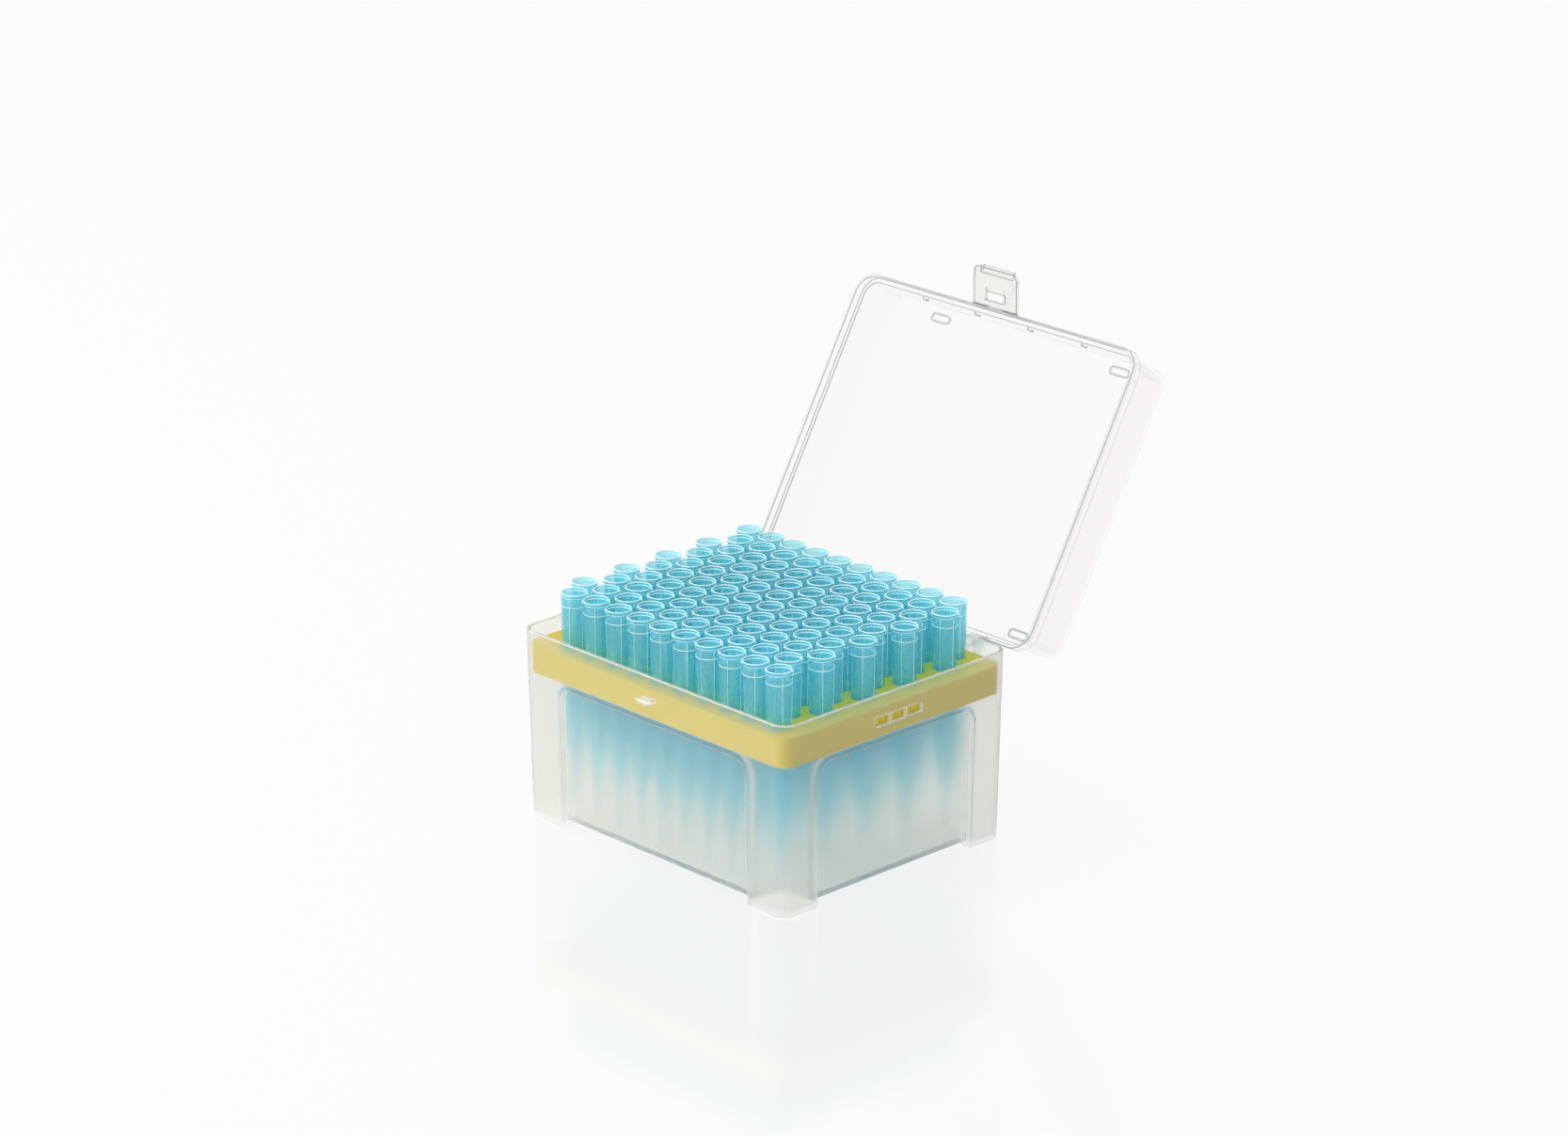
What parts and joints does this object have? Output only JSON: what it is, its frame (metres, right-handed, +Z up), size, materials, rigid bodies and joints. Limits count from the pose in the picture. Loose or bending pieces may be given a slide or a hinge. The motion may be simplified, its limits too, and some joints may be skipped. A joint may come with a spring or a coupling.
{
  "type": "pipette tip box",
  "caption": "Open box of pipette tips: frosted base on corner feet, yellow rack, blue tips in staggered rows, hinged clear lid with a latch tab.",
  "frame": {"origin": "on the plane that the feet stand on, under the middle of the whole open box", "axes": "+X along the rows of tips, +Y to the back where the hinge is, +Z up out of the tips' mouths"},
  "size_m": [0.1228, 0.1702, 0.1606],
  "materials": {
    "frosted_plastic": "fine frosted polypropylene",
    "yellow_plastic": "semi-matte yellow polypropylene",
    "clear_plastic": "clear polypropylene with a faint haze",
    "blue_plastic": "translucent blue polypropylene"
  },
  "bodies": {
    "base_body": {"base": "frosted_plastic", "rack": "yellow_plastic", "tips_row_01": "blue_plastic", "tips_row_02": "blue_plastic", "tips_row_03": "blue_plastic", "tips_row_04": "blue_plastic", "tips_row_05": "blue_plastic", "tips_row_06": "blue_plastic", "tips_row_07": "blue_plastic", "tips_row_08": "blue_plastic", "tips_row_09": "blue_plastic", "tips_row_10": "blue_plastic"},
    "lid_body": {"lid": "clear_plastic"},
    "latch_body": {"latch": "clear_plastic"}
  },
  "joints": [
    {"name": "lid_hinge", "type": "hinge", "parent": "base_body", "child": "lid_body", "pos_m": [0, 0.01799, 0.0594], "axis": [1, 0, 0], "range_deg": [0, 120]},
    {"name": "latch_hinge", "type": "hinge", "parent": "lid_body", "child": "latch_body", "pos_m": [0, 0.06824, 0.14713], "axis": [1, 0, 0], "range_deg": [0, 60]}
  ]
}
